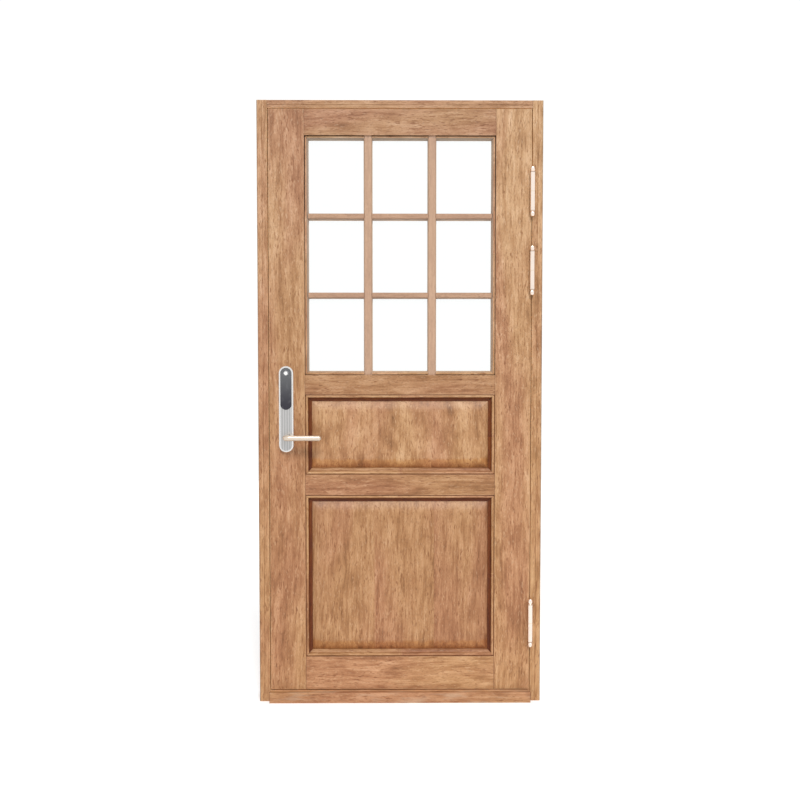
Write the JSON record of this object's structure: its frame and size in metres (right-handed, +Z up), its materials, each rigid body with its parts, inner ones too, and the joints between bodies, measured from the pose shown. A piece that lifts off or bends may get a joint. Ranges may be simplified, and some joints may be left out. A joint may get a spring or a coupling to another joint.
{
  "type": "glazed panel door in its frame",
  "caption": "Outward-opening teak entrance door in its frame, with glazed upper part, raised panels below, lift-off hinges and a lever lock with reader.",
  "frame": {"origin": "middle of the threshold's underside, half way through the frame's depth", "axes": "+X to the right seen from outside, +Y indoors, +Z up; the leaf opens outwards, to -Y"},
  "size_m": [0.99, 0.173, 2.1],
  "materials": {
    "teak": "oiled satin",
    "clear_glass": "clear polished",
    "satin_steel": "satin",
    "ribbed_steel": "brushed along its height",
    "hinge_steel": "satin",
    "reader_gloss": "gloss",
    "button_white": "gloss",
    "seal_rubber": "matte"
  },
  "bodies": {
    "frame": {"hinge_jamb": "teak", "latch_jamb": "teak", "head_jamb": "teak", "hinge_side_stop": "teak", "latch_side_stop": "teak", "head_stop": "teak", "threshold": "teak", "threshold_stop": "teak", "frame_seal": "seal_rubber", "strike_plate": "satin_steel", "upper_hinge_frame_half": "hinge_steel", "middle_hinge_frame_half": "hinge_steel", "lower_hinge_frame_half": "hinge_steel"},
    "leaf": {"hinge_stile": "teak", "latch_stile": "teak", "top_rail": "teak", "middle_rail": "teak", "lock_rail": "teak", "bottom_rail": "teak", "glazing_moulding": "teak", "left_glazing_bar": "teak", "right_glazing_bar": "teak", "lower_cross_bar": "teak", "upper_cross_bar": "teak", "glass_panes": "clear_glass", "glazing_beads": "teak", "upper_panel": "teak", "lower_panel": "teak", "upper_panel_outside_moulding": "teak", "upper_panel_inside_moulding": "teak", "lower_panel_outside_moulding": "teak", "lower_panel_inside_moulding": "teak", "outside_backplate": "satin_steel", "backplate_insert": "ribbed_steel", "reader_cover": "reader_gloss", "reader_button": "button_white", "inside_backplate": "satin_steel", "lock_case": "satin_steel", "upper_hinge_leaf_half": "hinge_steel", "middle_hinge_leaf_half": "hinge_steel", "lower_hinge_leaf_half": "hinge_steel"},
    "lever": {"outside_lever": "satin_steel", "inside_lever": "satin_steel", "spindle": "satin_steel"}
  },
  "joints": [
    {"name": "door_swing", "type": "hinge", "parent": "frame", "child": "leaf", "pos_m": [0.4575, -0.056, 1], "axis": [0, 0, 1], "range_deg": [0, 170]},
    {"name": "lever_turn", "type": "hinge", "parent": "leaf", "child": "lever", "pos_m": [-0.3965, -0.019, 0.936], "axis": [0, 1, 0], "range_deg": [0, 45], "stiffness_Nm_per_rad": 2, "springref_deg": -20.05}
  ]
}
